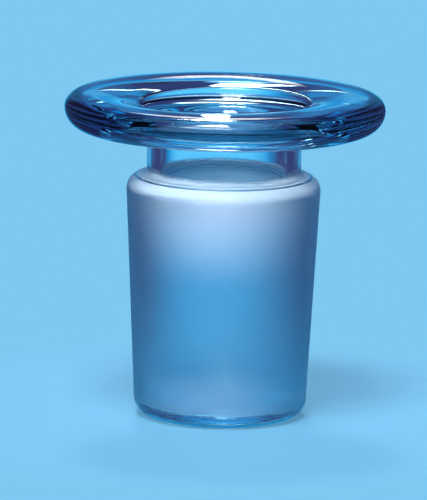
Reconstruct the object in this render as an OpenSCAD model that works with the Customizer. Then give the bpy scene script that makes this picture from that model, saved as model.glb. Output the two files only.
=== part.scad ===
// Hollow glass stopper with a wide flange round its open mouth.
// It is one piece of worked glass: a closed foot, a ground cone, a shoulder,
// a short neck, and a crowned flange with a rolled rim and a rolled lip.
// The axis is Z, and the origin is at the middle of the foot.
// Every length is in millimetres.

/* [Ground cone] */
// Diameter of the ground cone at its large end
cone_d = 24; // [22.5:0.5:34]
// Length of the ground zone
cone_l = 27.6; // [15:0.1:60]
// Diameter lost for each millimetre of length
cone_taper = 0.1; // [0.04:0.01:0.14]

/* [Foot] */
// Height of the clear glass below the ground zone
foot_h = 1.2; // [0.4:0.1:4]
// Radius of the corner round the foot
foot_r = 2.3; // [0.5:0.1:3]
// Thickness of the glass across the foot
foot_wall = 2.2; // [1.2:0.1:5]

/* [Shoulder] */
// Height of the shoulder above the ground zone
shoulder_h = 1.5; // [0.2:0.1:3]
// Radius of the outer corner of the shoulder
shoulder_r = 2; // [0.4:0.1:2.2]

/* [Neck] */
// Outer diameter of the neck
neck_d = 19.1; // [16:0.1:20]
// Length of the neck from the shoulder to the underside of the flange
neck_l = 5.6; // [4:0.1:15]
// Radius of the fillet between the shoulder and the neck
shoulder_fillet = 0.6; // [0.3:0.1:1.4]
// Radius of the fillet under the flange
flange_fillet = 1; // [0.3:0.1:1.4]

/* [Hollow] */
// Thickness of the wall of the neck
neck_wall = 1.7; // [1.2:0.1:2.5]
// Thickness of the wall of the cone
cone_wall = 2; // [1.4:0.1:2.4]
// Radius of the corner round the floor of the hollow
floor_r = 3.4; // [0.5:0.1:5]
// Radius of the bend under the shoulder
roof_r = 2; // [1:0.1:4]

/* [Flange] */
// Diameter of the flange
flange_d = 39.7; // [34:0.1:60]
// Radius of the upper half of the rolled rim
rim_high_r = 1.65; // [1:0.05:2]
// Radius of the lower half of the rolled rim
rim_low_r = 2.6; // [2:0.05:3.5]
// Radius of the crown across the top of the flange
crown_r = 18; // [14:0.5:60]

/* [Mouth] */
// Diameter of the mouth inside its lip
mouth_d = 21.1; // [18:0.1:26]
// Radius of the roll of the lip
lip_r = 0.5; // [0.4:0.1:1]
// Height of the middle of the lip above the middle of the rim
lip_rise = 0.6; // [0.4:0.1:2]
// Radius of the two bends between the mouth and the neck
throat_r = 1.8; // [1.4:0.1:3]

/* [Hidden] */
$fn = 180;

// The mouth is cut this far past the top of the flange.
over = 2;

// Edges that run smoothly into one another overlap by this much, so that they
// cross once.
tuck = 0.0005;

// Angle of the wall of the cone to the axis, and the way out through it.
wall_angle = atan(cone_taper / 2);
wall_out = [cos(wall_angle), -sin(wall_angle)];

// Heights, from the foot upwards.
ground_top = foot_h + cone_l;
shoulder_z = ground_top + shoulder_h;
flange_z = shoulder_z + neck_l;

// Radii of the straight walls, and of the sloping walls at height z.
neck_r = neck_d / 2;
bore_r = neck_r - neck_wall;
mouth_r = mouth_d / 2;
function cone_r(z) = cone_d / 2 - (ground_top - z) * cone_taper / 2;
function hollow_r(z) = cone_r(z) - cone_wall / cos(wall_angle);

// Middle of a corner of radius r at height z against a sloping wall whose
// radius there is wall.
function against(wall, z, r) = [wall - r / cos(wall_angle), z];

// Middles of the outer corners and of the fillets at the ends of the neck.
// The lower fillet touches the rounded corner of the shoulder, or stands on
// the flat beside it where the shoulder is wide enough to have one.
foot_mid = against(cone_r(foot_r), foot_r, foot_r);
corner_z = shoulder_z - shoulder_r;
corner_mid = against(cone_r(corner_z), corner_z, shoulder_r);
low_reach = max(0, neck_r + shoulder_fillet - corner_mid[0]);
low_mid = [neck_r + shoulder_fillet,
           corner_z + sqrt(pow(shoulder_fillet + shoulder_r, 2) - low_reach * low_reach)];
high_mid = [neck_r + flange_fillet, flange_z - flange_fillet];

// Middles of the two halves of the rolled rim and of the lip, and the middle of
// the crown circle that holds the rim and the lip and touches both.
rim_z = flange_z + rim_low_r;
rim_mid = [flange_d / 2 - rim_high_r, rim_z];
rim_low_mid = [flange_d / 2 - rim_low_r - tuck, rim_z];
lip_mid = [mouth_r + lip_r, rim_z + lip_rise];
crown_mid = let (span = rim_mid - lip_mid,
                 run = norm(span),
                 to_lip = crown_r - lip_r,
                 to_rim = crown_r - rim_high_r,
                 along = (to_lip * to_lip - to_rim * to_rim + run * run) / (2 * run),
                 down = sqrt(to_lip * to_lip - along * along))
    lip_mid + span * along / run + [span[1], -span[0]] * down / run;

// Points where the crown leaves the lip and meets the rim.
function crown_touch(mid, r) = mid + (mid - crown_mid) * (r - tuck) / norm(mid - crown_mid);
lip_touch = crown_touch(lip_mid, lip_r);
rim_touch = crown_touch(rim_mid, rim_high_r);

// Inside, the bend into the neck keeps the neck's wall round the lower fillet.
// A straight stretch crosses from the roof bend to the neck bend, and
// cross_out is the way out through it.
floor_mid = against(hollow_r(foot_wall + floor_r), foot_wall + floor_r, floor_r);
roof_z = shoulder_z - cone_wall - roof_r;
roof_mid = against(hollow_r(roof_z), roof_z, roof_r);
bend_r = shoulder_fillet + neck_wall;
cross_out = let (span = low_mid - roof_mid,
                 turn = atan2(span[1], span[0]) - acos((roof_r + bend_r) / norm(span)))
    [cos(turn), sin(turn)];

// The two bends of the throat touch each other halfway.
throat_step = mouth_r - bore_r;
throat_drop = sqrt(throat_step * (4 * throat_r - throat_step));
throat_high = [mouth_r - throat_r, lip_mid[1]];
throat_low = [bore_r + throat_r, lip_mid[1] - throat_drop];

module disc(mid, r) {
    translate(mid) circle(r);
}

// Outline of the foot, the cone and the shoulder, without the hollow.
module cone_outline() {
    polygon([[0, 0],
             [foot_mid[0], 0],
             foot_mid + (foot_r - tuck) * wall_out,
             corner_mid + (shoulder_r - tuck) * wall_out,
             [corner_mid[0], shoulder_z],
             [0, shoulder_z]]);
    disc(foot_mid, foot_r);
    disc(corner_mid, shoulder_r);
}

// Outline of the neck, with a fillet at each end.
module neck_outline() {
    difference() {
        polygon([[0, corner_z],
                 [min(corner_mid[0], low_mid[0]), corner_z],
                 low_mid,
                 high_mid,
                 [high_mid[0], rim_z],
                 [0, rim_z]]);
        disc(low_mid, shoulder_fillet + tuck);
        disc(high_mid, flange_fillet);
        polygon([[neck_r, low_mid[1]],
                 [flange_d, low_mid[1]],
                 [flange_d, high_mid[1]],
                 [neck_r, high_mid[1]]]);
    }
}

// Outline of the flange: the rolled rim and the lip, joined by the crown above
// and by a flat face below.  The lower half of the rim has a radius of its own.
module flange_outline() {
    polygon([[0, flange_z],
             [rim_low_mid[0], flange_z],
             rim_low_mid,
             rim_mid,
             rim_touch,
             lip_touch,
             lip_mid,
             [0, lip_mid[1]]]);
    intersection() {
        disc(rim_low_mid, rim_low_r);
        polygon([[0, flange_z - over], [flange_d, flange_z - over], [flange_d, rim_z], [0, rim_z]]);
    }
    disc(rim_mid, rim_high_r);
    disc(lip_mid, lip_r);
    intersection() {
        disc(crown_mid, crown_r - tuck);
        polygon([lip_touch, rim_touch, rim_touch + [0, over], lip_touch + [0, over]]);
    }
}

// Outline of the space inside, from the floor of the hollow to the mouth.
module hollow_outline() {
    difference() {
        union() {
            polygon([[0, foot_wall],
                     [floor_mid[0], foot_wall],
                     floor_mid + (floor_r - tuck) * wall_out,
                     roof_mid + (roof_r - tuck) * wall_out,
                     roof_mid + (roof_r - tuck) * cross_out,
                     low_mid - bend_r * cross_out,
                     [bore_r, low_mid[1]],
                     throat_low - [throat_r, 0],
                     (throat_low + throat_high) / 2,
                     throat_high + [throat_r, 0],
                     [mouth_r, lip_touch[1] + over],
                     [0, lip_touch[1] + over]]);
            disc(floor_mid, floor_r);
            disc(roof_mid, roof_r);
            disc(throat_high, throat_r);
        }
        disc(low_mid, bend_r + tuck);
        disc(throat_low, throat_r + tuck);
    }
}

module stopper() {
    color([0.78, 0.9, 0.96, 0.55])
    rotate_extrude() difference() {
        union() {
            cone_outline();
            neck_outline();
            flange_outline();
        }
        hollow_outline();
    }
}

stopper();
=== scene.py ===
"""Looks of a hollow glass stopper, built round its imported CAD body.

The stopper is one hot-worked and ground piece of clear glass.  Its surface is
one profile turned round the Z axis: the foot, the ground cone, the shoulder,
the neck, the crowned flange, the mouth, and the smooth hollow inside.  Marks of
hand working are then pressed into it.  Lengths are in millimetres until a mesh
is made, and in metres from there on.
"""

import bpy
import numpy as np
from mathutils import Matrix, Vector


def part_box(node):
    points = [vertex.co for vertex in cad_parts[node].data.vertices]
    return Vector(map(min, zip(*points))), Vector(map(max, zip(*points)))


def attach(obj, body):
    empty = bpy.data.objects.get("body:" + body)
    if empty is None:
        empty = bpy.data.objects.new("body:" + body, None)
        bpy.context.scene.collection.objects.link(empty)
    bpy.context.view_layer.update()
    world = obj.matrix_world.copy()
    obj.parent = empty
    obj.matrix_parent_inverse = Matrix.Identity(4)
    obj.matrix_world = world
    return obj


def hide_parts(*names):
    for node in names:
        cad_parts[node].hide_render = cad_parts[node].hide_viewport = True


MM = 0.001

# Ground cone, foot and shoulder
CONE_D, CONE_L, CONE_TAPER = 24.0, 27.6, 0.1
FOOT_H, FOOT_R, FOOT_WALL = 1.2, 2.3, 2.2
SHOULDER_H, SHOULDER_R = 1.5, 2.0
# Neck and hollow
NECK_D, NECK_L, SHOULDER_FILLET, FLANGE_FILLET = 19.1, 5.6, 0.6, 1.0
NECK_WALL, CONE_WALL, FLOOR_R, ROOF_R = 1.7, 2.0, 3.4, 2.0
# Flange and mouth
FLANGE_D, RIM_HIGH_R, RIM_LOW_R, CROWN_R = 39.7, 1.65, 2.6, 18.0
MOUTH_D, LIP_R, LIP_RISE, THROAT_R = 21.1, 0.5, 0.6, 1.8

TURNS = 240  # steps round the axis

# Marks of hand working: depth of the swells and a skin that is taken off everywhere,
# then the swells as size, rounds, length along the skin, and start
WORK_DEPTH, SKIN_GAP = 0.03, 0.003
WORK_WAVES = [
    (1.0, 2, 60.0, 0.4),
    (0.8, 3, 31.0, 1.9),
    (0.5, 5, 17.0, 3.1),
    (0.35, 0, 5.5, 0.7),
    (0.2, 1, 2.6, 2.2),
]
WORK_FADE = 2.0  # way from the shoulder over which the swells set in
MIDDLE_R, MIDDLE_FADE = 2.0, 4.0  # radius without swells round the axis, and the fade beyond it

# Groove round the top of the shoulder: radius, half width, depth, and reach in height.
# It is clear of frost as far out as these half widths, and from these heights above the
# ground cone's top.
GROOVE_R, GROOVE_HALF, GROOVE_DEPTH, GROOVE_REACH = 10.85, 0.14, 0.10, 0.7
GROOVE_CLEAR, GROOVE_FROM = (0.6, 1.6), (0.8, 0.9)

# The lip is lower at -X than at +X by this much.  That starts from a height and from a
# distance inside the flange's edge, and is whole after the two fades.
LEAN, LEAN_FROM, LEAN_UP_FADE = 0.3, 37.0, 2.0
LEAN_IN, LEAN_IN_FADE = 3.4, 4.0

# Glass: its colour where it is clear and where it is ground, and the colour and the
# density per metre of what it takes from light on a long way through
CLEAR, FROST = (0.985, 0.995, 1.0), (0.84, 0.95, 1.0)
TINT, TINT_DENSITY = (0.5, 0.86, 0.96), 100.0
REFRACTION = 1.474

# Frost: start and end of its fades above the foot's top and above the ground cone's top,
# how far the edge wanders and how finely, and how its roughness is made up.  Over the
# last stretch of the cone, the neck's wall takes over from the cone's.
FROST_LOW, FROST_HIGH = (-0.2, 1.3), (1.4, 2.4)
WALL_CHANGE = 0.6
EDGE_WANDER, EDGE_GRAIN = 1.2, 150.0
ROUGH, ROUGH_BY_RINGS, ROUGH_BY_CLOUD = 0.41, 0.08, 0.10
RING_GRAIN, FINE_GRAIN, CLOUD_GRAIN = (30.0, 30.0, 2600.0), 5200.0, 210.0
RELIEF, RELIEF_DEPTH, RELIEF_BY_RINGS = 0.25, 0.02, 0.6

# Haze, as the share of light that the frost scatters back: at the cone's top and foot,
# each with the heights of its fade, then how cloudy it is, and the power by which it
# lessens as a surface turns away.  The thick haze at the cone's top is painted light
# falling from above, and its thinning on surfaces that turn away is painted shade on
# the edges.  The shoulder has a haze of its own, partly painted highlight for the white
# glare on the shoulder, with painted shade towards its sides by the last two numbers.
TOP_HAZE_PAINTED_LIGHT, TOP_HAZE_PAINTED_LIGHT_FADE = 0.95, (17.0, 32.0)
HAZE_FOOT, HAZE_FOOT_FADE = 0.15, (3.0, 8.0)
HAZE_LEAST, HAZE_BY_CLOUD, PAINTED_EDGE_SHADE_POWER = 0.85, 0.3, 2.8
SHOULDER_HAZE_PAINTED_LIGHT, SHOULDER_FADE = 0.9, (-0.6, 0.4)
SHOULDER_GAIN, SHOULDER_PAINTED_SHADE_POWER = 2.2, 1.2

# Floor and plain background
BACKDROP = (0.21, 0.58, 0.88)
FLOOR, FLOOR_ROUGHNESS, FLOOR_SIDES = (0.115, 0.355, 0.52), 0.7, 64
FLOOR_FADE = (0.028, 0.050)  # radii between which the floor fades, in metres
FLOOR_GLOW = 0.35  # share of plain background in the middle of the floor, for the camera
DEEP, DEEP_SHARE = (0.02, 0.30, 0.62), 0.85  # the floor as glass and reflections see it

# Light of the studio by direction, each row over those before it: azimuths from behind
# the object towards +X, elevations, softness of the edges, all in degrees, then colour.
# The camera stands at azimuth 180.
AROUND = (0.045, 0.055, 0.18)
STUDIO = [
    ((164, 230), (-3, 50), 12, (0.9, 1.3, 1.9)),  # fill in front
    ((-200, 200), (60, 120), 12, (0.55, 0.68, 0.9)),  # weak light from above
    ((-50, 50), (40, 80), 12, AROUND),  # dark above the blue card
    ((176, 210), (52, 76), 3, (28.0, 28.0, 28.5)),  # high light in front, a little to the left
    ((174, 214), (32, 44), 4, (11.0, 11.3, 12.0)),  # lower light under it
    ((-20, 18), (3, 20), 10, (0.05, 0.24, 0.55)),  # top of the blue card behind
    ((-18, 10), (-27, 4), 12, (0.0, 0.38, 0.86)),  # blue card behind
    ((-12, 6), (-12, 3), 8, (0.16, 0.74, 1.15)),  # its bright middle
    ((-4, 2), (22, 28), 2, (4.0, 4.0, 4.0)),  # low window behind
    ((-12, 2), (50, 62), 3, (34.0, 34.0, 34.0)),  # high window behind
]

# Camera: the point it looks at, as steps from the foot's middle, then its direction
AIM_X, AIM_Z = -1.10, 20.65
ELEVATION, ROLL, DISTANCE, VIEW_HEIGHT = 10.5, 1.02, 0.9, 61.85


# ---------------------------------------------------------------- profile
def angle_of(vector):
    """Direction of a vector across the profile, in degrees."""
    return np.degrees(np.arctan2(vector[1], vector[0]))


def towards(degrees):
    """Unit vector across the profile at an angle in degrees."""
    return np.array([np.cos(np.radians(degrees)), np.sin(np.radians(degrees))])


def arc(mid, radius, start, end, step=3.0):
    """Points on a circle about mid, from one angle to another in degrees."""
    count = max(2, int(np.ceil(abs(end - start) / step)) + 1)
    turn = np.radians(np.linspace(start, end, count))
    return mid + radius * np.column_stack([np.cos(turn), np.sin(turn)])


def straight(a, b, step=0.8):
    """Evenly spaced points from a to b."""
    a, b = np.asarray(a, float), np.asarray(b, float)
    count = max(2, int(np.ceil(np.linalg.norm(b - a) / step)) + 1)
    return a + (b - a) * np.linspace(0.0, 1.0, count)[:, None]


def joined(stretches):
    """The stretches in a row as one line, with the shared ends kept once."""
    points = np.concatenate(stretches)
    gap = np.linalg.norm(np.diff(points, axis=0), axis=1)
    return points[np.concatenate([[True], gap > 1e-4])]


def stopper_profile():
    """Radius and height along the stopper's surface, in millimetres.

    Straight stretches and arcs that touch them run from the middle of the foot
    up the outside, over the rim and the crown, through the mouth, and down the
    inside to the middle of the hollow's floor.
    """
    wall_angle = np.degrees(np.arctan(CONE_TAPER / 2))
    slant = np.cos(np.radians(wall_angle))
    ground_top = FOOT_H + CONE_L
    shoulder_z = ground_top + SHOULDER_H
    flange_z = shoulder_z + NECK_L
    neck_r, mouth_r = NECK_D / 2, MOUTH_D / 2
    bore_r = neck_r - NECK_WALL

    def against(z, radius, wall=0.0):
        return np.array([CONE_D / 2 - (ground_top - z) * CONE_TAPER / 2 - (wall + radius) / slant, z])

    foot_mid = against(FOOT_R, FOOT_R)
    corner_mid = against(shoulder_z - SHOULDER_R, SHOULDER_R)
    low_x = neck_r + SHOULDER_FILLET
    touch = np.sqrt((SHOULDER_FILLET + SHOULDER_R) ** 2 - (low_x - corner_mid[0]) ** 2)
    low_mid = np.array([low_x, corner_mid[1] + touch])
    at_fillet = angle_of(low_mid - corner_mid)
    high_mid = np.array([neck_r + FLANGE_FILLET, flange_z - FLANGE_FILLET])
    rim_mid = np.array([FLANGE_D / 2 - RIM_HIGH_R, flange_z + RIM_LOW_R])
    rim_low_mid = np.array([FLANGE_D / 2 - RIM_LOW_R, rim_mid[1]])
    lip_mid = np.array([mouth_r + LIP_R, rim_mid[1] + LIP_RISE])

    # The crown is a circle that holds the rim and the lip and touches both.
    span = rim_mid - lip_mid
    run = np.linalg.norm(span)
    to_lip, to_rim = CROWN_R - LIP_R, CROWN_R - RIM_HIGH_R
    along = (to_lip ** 2 - to_rim ** 2 + run ** 2) / (2 * run)
    down = np.sqrt(to_lip ** 2 - along ** 2)
    crown_mid = lip_mid + span * along / run + np.array([span[1], -span[0]]) * down / run
    at_rim, at_lip = angle_of(rim_mid - crown_mid), angle_of(lip_mid - crown_mid)

    # The throat is two bends that touch each other halfway.
    step = mouth_r - bore_r
    drop = np.sqrt(step * (4 * THROAT_R - step))
    throat_high = np.array([mouth_r - THROAT_R, lip_mid[1]])
    throat_low = np.array([bore_r + THROAT_R, lip_mid[1] - drop])
    swing = angle_of(throat_low - throat_high)

    # The hollow keeps the neck's wall round the lower fillet, and a straight
    # stretch crosses from there to the bend at the top of the cone.
    bend_r = SHOULDER_FILLET + NECK_WALL
    roof_mid = against(shoulder_z - CONE_WALL - ROOF_R, ROOF_R, CONE_WALL)
    floor_mid = against(FOOT_WALL + FLOOR_R, FLOOR_R, CONE_WALL)
    span = low_mid - roof_mid
    cross = angle_of(span) - np.degrees(np.arccos((ROOF_R + bend_r) / np.linalg.norm(span)))

    return joined([
        straight((0, 0), (foot_mid[0], 0)),
        arc(foot_mid, FOOT_R, -90, -wall_angle),
        straight(foot_mid + FOOT_R * towards(-wall_angle), corner_mid + SHOULDER_R * towards(-wall_angle)),
        arc(corner_mid, SHOULDER_R, -wall_angle, at_fillet),
        arc(low_mid, SHOULDER_FILLET, at_fillet - 180, -180, 6),
        straight((neck_r, low_mid[1]), (neck_r, high_mid[1])),
        arc(high_mid, FLANGE_FILLET, 180, 90, 6),
        straight((high_mid[0], flange_z), (rim_low_mid[0], flange_z), 0.5),
        arc(rim_low_mid, RIM_LOW_R, -90, 0, 4),
        arc(rim_mid, RIM_HIGH_R, 0, at_rim, 4),
        arc(crown_mid, CROWN_R, at_rim, at_lip, 0.8),
        arc(lip_mid, LIP_R, at_lip, 180, 6),
        arc(throat_high, THROAT_R, 0, swing, 3),
        arc(throat_low, THROAT_R, swing + 180, 180, 3),
        straight((bore_r, throat_low[1]), (bore_r, low_mid[1])),
        arc(low_mid, bend_r, 180, cross + 180, 4),
        straight(low_mid - bend_r * towards(cross), roof_mid + ROOF_R * towards(cross)),
        arc(roof_mid, ROOF_R, cross, -wall_angle, 4),
        straight(roof_mid + ROOF_R * towards(-wall_angle), floor_mid + FLOOR_R * towards(-wall_angle)),
        arc(floor_mid, FLOOR_R, -wall_angle, -90),
        straight((floor_mid[0], FOOT_WALL), (0, FOOT_WALL)),
    ])


def swell(profile, turns):
    """How far hand working pushed the skin in, in millimetres, at each profile point and turn.

    It is a sum of sines of the angle and of the way along the profile: slow
    swells round the piece and finer rings where the soft glass was turned.
    The ground outside and the two closed middles stay true.  A groove, with a
    bell curve for its section, is added at the top of the shoulder.
    """
    way = np.concatenate([[0], np.cumsum(np.linalg.norm(np.diff(profile, axis=0), axis=1))])[:, None]
    turn = (np.arange(turns) * 2 * np.pi / turns)[None, :]
    wave = sum(size * np.sin(rounds * turn + 2 * np.pi * way / length + start)
               for size, rounds, length, start in WORK_WAVES)
    wave *= WORK_DEPTH / sum(row[0] for row in WORK_WAVES)
    radius, height = profile[:, :1], profile[:, 1:]
    shoulder_z = FOOT_H + CONE_L + SHOULDER_H
    ground_end = way[np.argmax(height > shoulder_z)]
    free = np.clip((way - ground_end) / WORK_FADE, 0, 1)
    free = free * np.clip((radius - MIDDLE_R) / MIDDLE_FADE, 0, 1)
    on_shoulder = np.abs(height - shoulder_z) < GROOVE_REACH
    groove = GROOVE_DEPTH * on_shoulder * np.exp(-((radius - GROOVE_R) / GROOVE_HALF) ** 2)
    return free * ((wave + WORK_DEPTH) / 2 + SKIN_GAP) + groove


def turned(name, profile, turns):
    """A closed skin: the profile carried round the Z axis, and pushed in by hand working.

    A point at angle t is (r cos t, r sin t, z), less its swell along the normal.
    The mouth's lip then sinks by a share of LEAN that grows from 0 at +X to 1
    at -X.  The two ends of the profile lie on the axis, so each is one vertex,
    and faces point outwards.
    """
    along = np.gradient(profile, axis=0)
    normal = np.column_stack([along[:, 1], -along[:, 0]]) / np.linalg.norm(along, axis=1)[:, None]
    push = swell(profile, turns)[:, :, None]
    skin = (profile[:, None, :] - push * normal[:, None, :])[1:-1]
    turn = np.arange(turns) * 2 * np.pi / turns
    r, z = skin[:, :, 0], skin[:, :, 1]
    x, y = r * np.cos(turn), r * np.sin(turn)
    raised = np.clip((z - LEAN_FROM) / LEAN_UP_FADE, 0, 1)
    lip = raised * np.clip((FLANGE_D / 2 - LEAN_IN - r) / LEAN_IN_FADE, 0, 1)
    sink = LEAN * (1 - np.clip(2 * x / MOUTH_D, -1, 1)) / 2
    grid = np.stack([x, y, z - lip * sink], axis=2)
    ends = [[0, 0, profile[0, 1]], [0, 0, profile[-1, 1]]]
    points = np.concatenate([grid.reshape(-1, 3), ends]) * MM

    count = len(skin)
    index = np.arange(count * turns).reshape(count, turns)
    after = np.roll(index, -1, axis=1)
    quads = np.stack([index[:-1], after[:-1], after[1:], index[1:]], axis=2).reshape(-1, 4)
    first, last = index.size, index.size + 1
    start = np.column_stack([np.full(turns, first), after[0], index[0]])
    stop = np.column_stack([np.full(turns, last), index[-1], after[-1]])

    mesh = bpy.data.meshes.new(name)
    mesh.from_pydata(points.tolist(), [], quads.tolist() + start.tolist() + stop.tolist())
    mesh.polygons.foreach_set("use_smooth", np.ones(len(mesh.polygons), bool))
    mesh.update()
    piece = bpy.data.objects.new(name, mesh)
    bpy.context.scene.collection.objects.link(piece)
    return piece


# ---------------------------------------------------------------- materials
class Graph:
    """A few short calls that add nodes to a node tree and link them."""

    def __init__(self, tree):
        self.tree = tree

    def node(self, kind, **settings):
        made = self.tree.nodes.new(kind)
        for key, value in settings.items():
            setattr(made, key, value)
        return made

    def put(self, socket, value):
        if isinstance(value, bpy.types.NodeSocket):
            self.tree.links.new(value, socket)
        else:
            socket.default_value = value

    def math(self, operation, *values):
        made = self.node("ShaderNodeMath", operation=operation)
        for socket, value in zip(made.inputs, values):
            self.put(socket, value)
        return made.outputs[0]

    def split(self, vector):
        made = self.node("ShaderNodeSeparateXYZ")
        self.put(made.inputs[0], vector)
        return made.outputs

    def stretched(self, vector, scale):
        made = self.node("ShaderNodeMapping")
        self.put(made.inputs["Vector"], vector)
        self.put(made.inputs["Scale"], scale)
        return made.outputs[0]

    def noise(self, vector, scale, detail):
        made = self.node("ShaderNodeTexNoise")
        self.put(made.inputs["Vector"], vector)
        self.put(made.inputs["Scale"], scale)
        self.put(made.inputs["Detail"], detail)
        return made.outputs[0]

    def ramp(self, value, start, end, low=0.0, high=1.0):
        """low before start, high after end, and smooth between them."""
        made = self.node("ShaderNodeMapRange", interpolation_type="SMOOTHSTEP")
        for socket, v in zip(made.inputs, (value, start, end, low, high)):
            self.put(socket, v)
        return made.outputs[0]

    def radius(self, x, y):
        """Distance from the Z axis."""
        squares = self.math("ADD", self.math("MULTIPLY", x, x), self.math("MULTIPLY", y, y))
        return self.math("SQRT", squares)

    def mix(self, factor, a, b):
        made = self.node("ShaderNodeMix", data_type="RGBA")
        self.put(made.inputs["Factor"], factor)
        for key, value in (("A", a), ("B", b)):
            socket = next(i for i in made.inputs if i.name == key and i.type == "RGBA")
            self.put(socket, (*value, 1.0) if isinstance(value, tuple) else value)
        return next(o for o in made.outputs if o.type == "RGBA")


def shader(name):
    """A new material with its node tree and its main shader."""
    made = bpy.data.materials.new(name)
    made.use_nodes = True
    nodes = made.node_tree.nodes
    surface = next(n for n in nodes if n.type == "BSDF_PRINCIPLED")
    return made, made.node_tree, surface


def frost_mask(graph, place):
    """1 on the ground outside of cone and shoulder, and 0 on clear glass.

    The edges wander a little.  The inside is told from the outside by its
    radius, and the groove in the shoulder stays clear.
    """
    x, y, z = graph.split(place)
    ground_top = (FOOT_H + CONE_L) * MM
    radius = graph.radius(x, y)
    drop = graph.math("MULTIPLY", graph.math("SUBTRACT", ground_top, z), CONE_TAPER / 2)
    wall = graph.math("SUBTRACT", (CONE_D - CONE_WALL) / 2 * MM, drop)
    neck_wall = graph.ramp(z, ground_top - WALL_CHANGE * MM, ground_top,
                           CONE_D / 2 * MM, (NECK_D - NECK_WALL) / 2 * MM)
    outside = graph.math("GREATER_THAN", radius, graph.math("MINIMUM", wall, neck_wall))
    uneven = graph.math("SUBTRACT", graph.noise(place, EDGE_GRAIN, detail=3.0), 0.5)
    height = graph.math("ADD", z, graph.math("MULTIPLY", uneven, EDGE_WANDER * MM))
    low = graph.ramp(height, (FOOT_H + FROST_LOW[0]) * MM, (FOOT_H + FROST_LOW[1]) * MM)
    high = graph.ramp(height, ground_top + FROST_HIGH[0] * MM, ground_top + FROST_HIGH[1] * MM, 1.0, 0.0)
    off_groove = graph.math("ABSOLUTE", graph.math("SUBTRACT", radius, GROOVE_R * MM))
    beside = graph.ramp(off_groove, GROOVE_CLEAR[0] * GROOVE_HALF * MM, GROOVE_CLEAR[1] * GROOVE_HALF * MM)
    below = graph.ramp(z, ground_top + GROOVE_FROM[0] * MM, ground_top + GROOVE_FROM[1] * MM, 1.0, 0.0)
    zone = graph.math("MULTIPLY", graph.math("MULTIPLY", low, high), graph.math("MAXIMUM", beside, below))
    return graph.math("MULTIPLY", zone, outside)


def haze_and_painted_light(graph, height, frost, cloud):
    """Share of light that the ground glass scatters back instead of letting it through.

    The cone's share fades in towards its top and its foot, and the shoulder's
    share sets in at the cone's top.  The thick share at the cone's top is painted
    light, and the shoulder's is partly painted highlight.  Both are less on surfaces
    that turn away, which paints shade on the edges.
    """
    # painted light: the haze thickens towards the cone's top, where light falls from above
    upper = graph.ramp(height, TOP_HAZE_PAINTED_LIGHT_FADE[0] * MM, TOP_HAZE_PAINTED_LIGHT_FADE[1] * MM, 0.0, TOP_HAZE_PAINTED_LIGHT)
    lower = graph.ramp(height, HAZE_FOOT_FADE[0] * MM, HAZE_FOOT_FADE[1] * MM, HAZE_FOOT, 0.0)
    cloudy = graph.math("ADD", HAZE_LEAST, graph.math("MULTIPLY", cloud, HAZE_BY_CLOUD))
    cone = graph.math("MULTIPLY", frost, graph.math("ADD", upper, lower))
    cone = graph.math("MULTIPLY", cone, cloudy)
    # painted shade: the haze thins as a surface turns away, so the edges go dark
    facing = graph.node("ShaderNodeLayerWeight").outputs["Facing"]
    level = graph.math("SUBTRACT", 1.0, facing)
    cone = graph.math("MULTIPLY", cone, graph.math("POWER", level, PAINTED_EDGE_SHADE_POWER))
    ground_top = FOOT_H + CONE_L
    # partly painted highlight: the shoulder's haze stands for the white glare of light on it
    shoulder = graph.ramp(height, (ground_top + SHOULDER_FADE[0]) * MM,
                          (ground_top + SHOULDER_FADE[1]) * MM, 0.0, SHOULDER_HAZE_PAINTED_LIGHT)
    shoulder = graph.math("MULTIPLY", frost, shoulder)
    # painted shade towards the sides of the shoulder's white band
    gain = graph.math("MULTIPLY", SHOULDER_GAIN, graph.math("POWER", level, SHOULDER_PAINTED_SHADE_POWER))
    shoulder = graph.math("MULTIPLY", shoulder, graph.math("MINIMUM", 1.0, gain))
    return graph.math("MAXIMUM", cone, shoulder)


def worked_glass():
    """Clear borosilicate glass, ground to a satin frost on the outside of cone and shoulder.

    The grinding leaves a fine grain, faint rings round the axis and a milky
    haze, which is made thick at the cone's top and on the shoulder as painted light
    and thin on surfaces that turn away as painted shade, and long ways through the
    glass take on a slight blue.
    """
    made, tree, glass = shader("worked_glass")
    graph = Graph(tree)
    place = graph.node("ShaderNodeTexCoord").outputs["Object"]
    height = graph.split(place)[2]
    frost = frost_mask(graph, place)
    rings = graph.noise(graph.stretched(place, RING_GRAIN), 1.0, detail=4.0)
    grain = graph.noise(place, FINE_GRAIN, detail=2.0)
    cloud = graph.noise(place, CLOUD_GRAIN, detail=3.0)
    satin = graph.math("ADD", ROUGH, graph.math("MULTIPLY", rings, ROUGH_BY_RINGS))
    satin = graph.math("ADD", satin, graph.math("MULTIPLY", cloud, ROUGH_BY_CLOUD))
    graph.put(glass.inputs["Roughness"], graph.math("MULTIPLY", frost, satin))
    # haze of the ground glass, with painted light at the cone's top and shoulder and painted shade on the
    # edges
    haze_with_painted_light = haze_and_painted_light(graph, height, frost, cloud)
    graph.put(glass.inputs["Transmission Weight"], graph.math("SUBTRACT", 1.0, haze_with_painted_light))
    bump = graph.node("ShaderNodeBump")
    graph.put(bump.inputs["Strength"], graph.math("MULTIPLY", frost, RELIEF))
    graph.put(bump.inputs["Distance"], RELIEF_DEPTH * MM)
    relief = graph.math("MULTIPLY", rings, RELIEF_BY_RINGS)
    graph.put(bump.inputs["Height"], graph.math("ADD", grain, relief))
    graph.put(glass.inputs["Normal"], bump.outputs["Normal"])
    graph.put(glass.inputs["Base Color"], graph.mix(frost, CLEAR, FROST))
    glass.inputs["IOR"].default_value = REFRACTION
    tint = graph.node("ShaderNodeVolumeAbsorption")
    tint.inputs["Color"].default_value = (*TINT, 1.0)
    tint.inputs["Density"].default_value = TINT_DENSITY
    tree.links.new(tint.outputs[0], tree.nodes["Material Output"].inputs["Volume"])
    return made


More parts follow.
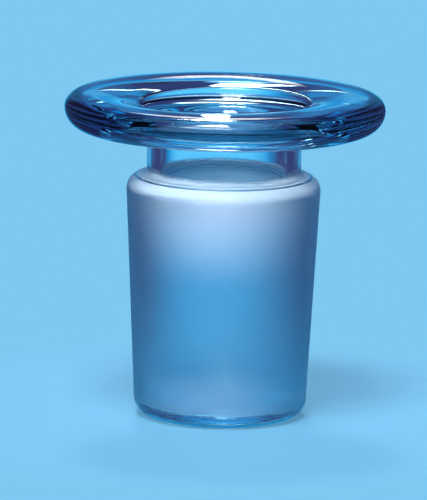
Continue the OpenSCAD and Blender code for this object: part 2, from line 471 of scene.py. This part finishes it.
# ---------------------------------------------------------------- stage
def studio_floor():
    """A pale round floor at the height of the foot.

    Towards its edge it fades, for the camera, into the plain background.  Glass
    and reflections see a deeper blue floor.
    """
    turn = np.arange(FLOOR_SIDES) * 2 * np.pi / FLOOR_SIDES
    ring = np.column_stack([np.cos(turn), np.sin(turn), np.zeros(FLOOR_SIDES)]) * FLOOR_FADE[1]
    mesh = bpy.data.meshes.new("floor")
    mesh.from_pydata(ring.tolist(), [], [list(range(FLOOR_SIDES))])
    floor = bpy.data.objects.new("floor", mesh)
    bpy.context.scene.collection.objects.link(floor)

    made, tree, surface = shader("pale_floor")
    surface.inputs["Base Color"].default_value = (*FLOOR, 1.0)
    surface.inputs["Roughness"].default_value = FLOOR_ROUGHNESS
    graph = Graph(tree)
    glow = graph.node("ShaderNodeEmission")
    glow.inputs["Color"].default_value = (*BACKDROP, 1.0)
    deep = graph.node("ShaderNodeEmission")
    deep.inputs["Color"].default_value = (*DEEP, 1.0)
    x, y = graph.split(graph.node("ShaderNodeTexCoord").outputs["Object"])[:2]
    far = graph.ramp(graph.radius(x, y), *FLOOR_FADE)
    paths = graph.node("ShaderNodeLightPath").outputs
    direct = graph.math("MULTIPLY", graph.ramp(far, 0.0, 1.0, FLOOR_GLOW, 1.0), paths["Is Camera Ray"])
    mirrored = graph.math("MAXIMUM", paths["Is Glossy Ray"], paths["Is Transmission Ray"])
    mirrored = graph.math("MULTIPLY", mirrored, DEEP_SHARE)
    seen = surface.outputs[0]
    for share, light in ((direct, glow), (mirrored, deep)):
        blend = graph.node("ShaderNodeMixShader")
        graph.put(blend.inputs[0], share)
        tree.links.new(seen, blend.inputs[1])
        tree.links.new(light.outputs[0], blend.inputs[2])
        seen = blend.outputs[0]
    tree.links.new(seen, tree.nodes["Material Output"].inputs["Surface"])
    floor.data.materials.append(made)


def patch(graph, across, up, azimuth, elevation, soft):
    """1 inside a window of the sky and 0 outside it, with soft edges.

    across and up are a direction's azimuth and elevation in degrees, and
    azimuth and elevation are the window's two ends in each.  The azimuth is
    counted from the window's middle, so a window may lie in front, where the
    azimuth jumps from 180 to -180.
    """
    middle, half = (azimuth[0] + azimuth[1]) / 2, (azimuth[1] - azimuth[0]) / 2
    off = graph.math("ABSOLUTE", graph.math("WRAP", graph.math("SUBTRACT", across, middle), 180.0, -180.0))
    within = graph.ramp(off, half - soft / 2, half + soft / 2, 1.0, 0.0)
    above = graph.ramp(up, elevation[0] - soft / 2, elevation[0] + soft / 2)
    below = graph.ramp(up, elevation[1] - soft / 2, elevation[1] + soft / 2, 1.0, 0.0)
    return graph.math("MULTIPLY", graph.math("MULTIPLY", within, above), below)


def studio_world():
    """A plain pale background, and a studio round it that lights the glass."""
    world = bpy.data.worlds.new("studio")
    bpy.context.scene.world = world
    world.use_nodes = True
    graph = Graph(world.node_tree)
    background = world.node_tree.nodes["Background"]
    x, y, z = graph.split(graph.node("ShaderNodeTexCoord").outputs["Generated"])
    across = graph.math("DEGREES", graph.math("ARCTAN2", x, y))
    up = graph.math("DEGREES", graph.math("ARCSINE", z))
    colour = AROUND
    for azimuth, elevation, soft, light in STUDIO:
        colour = graph.mix(patch(graph, across, up, azimuth, elevation, soft), colour, light)
    camera_ray = graph.node("ShaderNodeLightPath").outputs["Is Camera Ray"]
    graph.put(background.inputs["Color"], graph.mix(camera_ray, colour, BACKDROP))


def long_lens_camera(aim, elevation, roll, distance, view_height):
    """A camera in front of the object, which looks down at it at elevation."""
    e = np.radians(elevation)
    away = Vector((0, -np.cos(e), np.sin(e)))
    data = bpy.data.cameras.new("camera")
    data.sensor_fit = "VERTICAL"
    data.sensor_height = 36.0
    data.lens = data.sensor_height * distance / view_height
    data.clip_start, data.clip_end = 0.01, 50.0
    camera = bpy.data.objects.new("camera", data)
    turn = away.to_track_quat("Z", "Y").to_matrix() @ Matrix.Rotation(np.radians(roll), 3, "Z")
    camera.matrix_world = Matrix.Translation(Vector(aim) + away * distance) @ turn.to_4x4()
    bpy.context.scene.collection.objects.link(camera)
    bpy.context.scene.camera = camera


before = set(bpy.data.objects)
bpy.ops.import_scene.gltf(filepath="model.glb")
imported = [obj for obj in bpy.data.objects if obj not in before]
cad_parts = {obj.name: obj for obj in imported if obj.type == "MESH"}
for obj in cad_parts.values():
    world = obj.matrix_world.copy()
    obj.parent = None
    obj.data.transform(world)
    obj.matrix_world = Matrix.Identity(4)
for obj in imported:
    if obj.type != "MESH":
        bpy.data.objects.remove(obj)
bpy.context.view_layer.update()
low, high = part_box("stopper")

# The camera looks at a point at mid height, a little to one side of the axis.
long_lens_camera(
    aim=((low.x + high.x) / 2 + AIM_X * MM, (low.y + high.y) / 2, low.z + AIM_Z * MM),
    elevation=ELEVATION, roll=ROLL, distance=DISTANCE, view_height=VIEW_HEIGHT * MM)

profile = stopper_profile()
body = turned("stopper_glass", profile, TURNS)
body.data.materials.append(worked_glass())
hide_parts("stopper")
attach(body, "root")

studio_floor()
studio_world()
bpy.context.scene.view_settings.view_transform = "Standard"
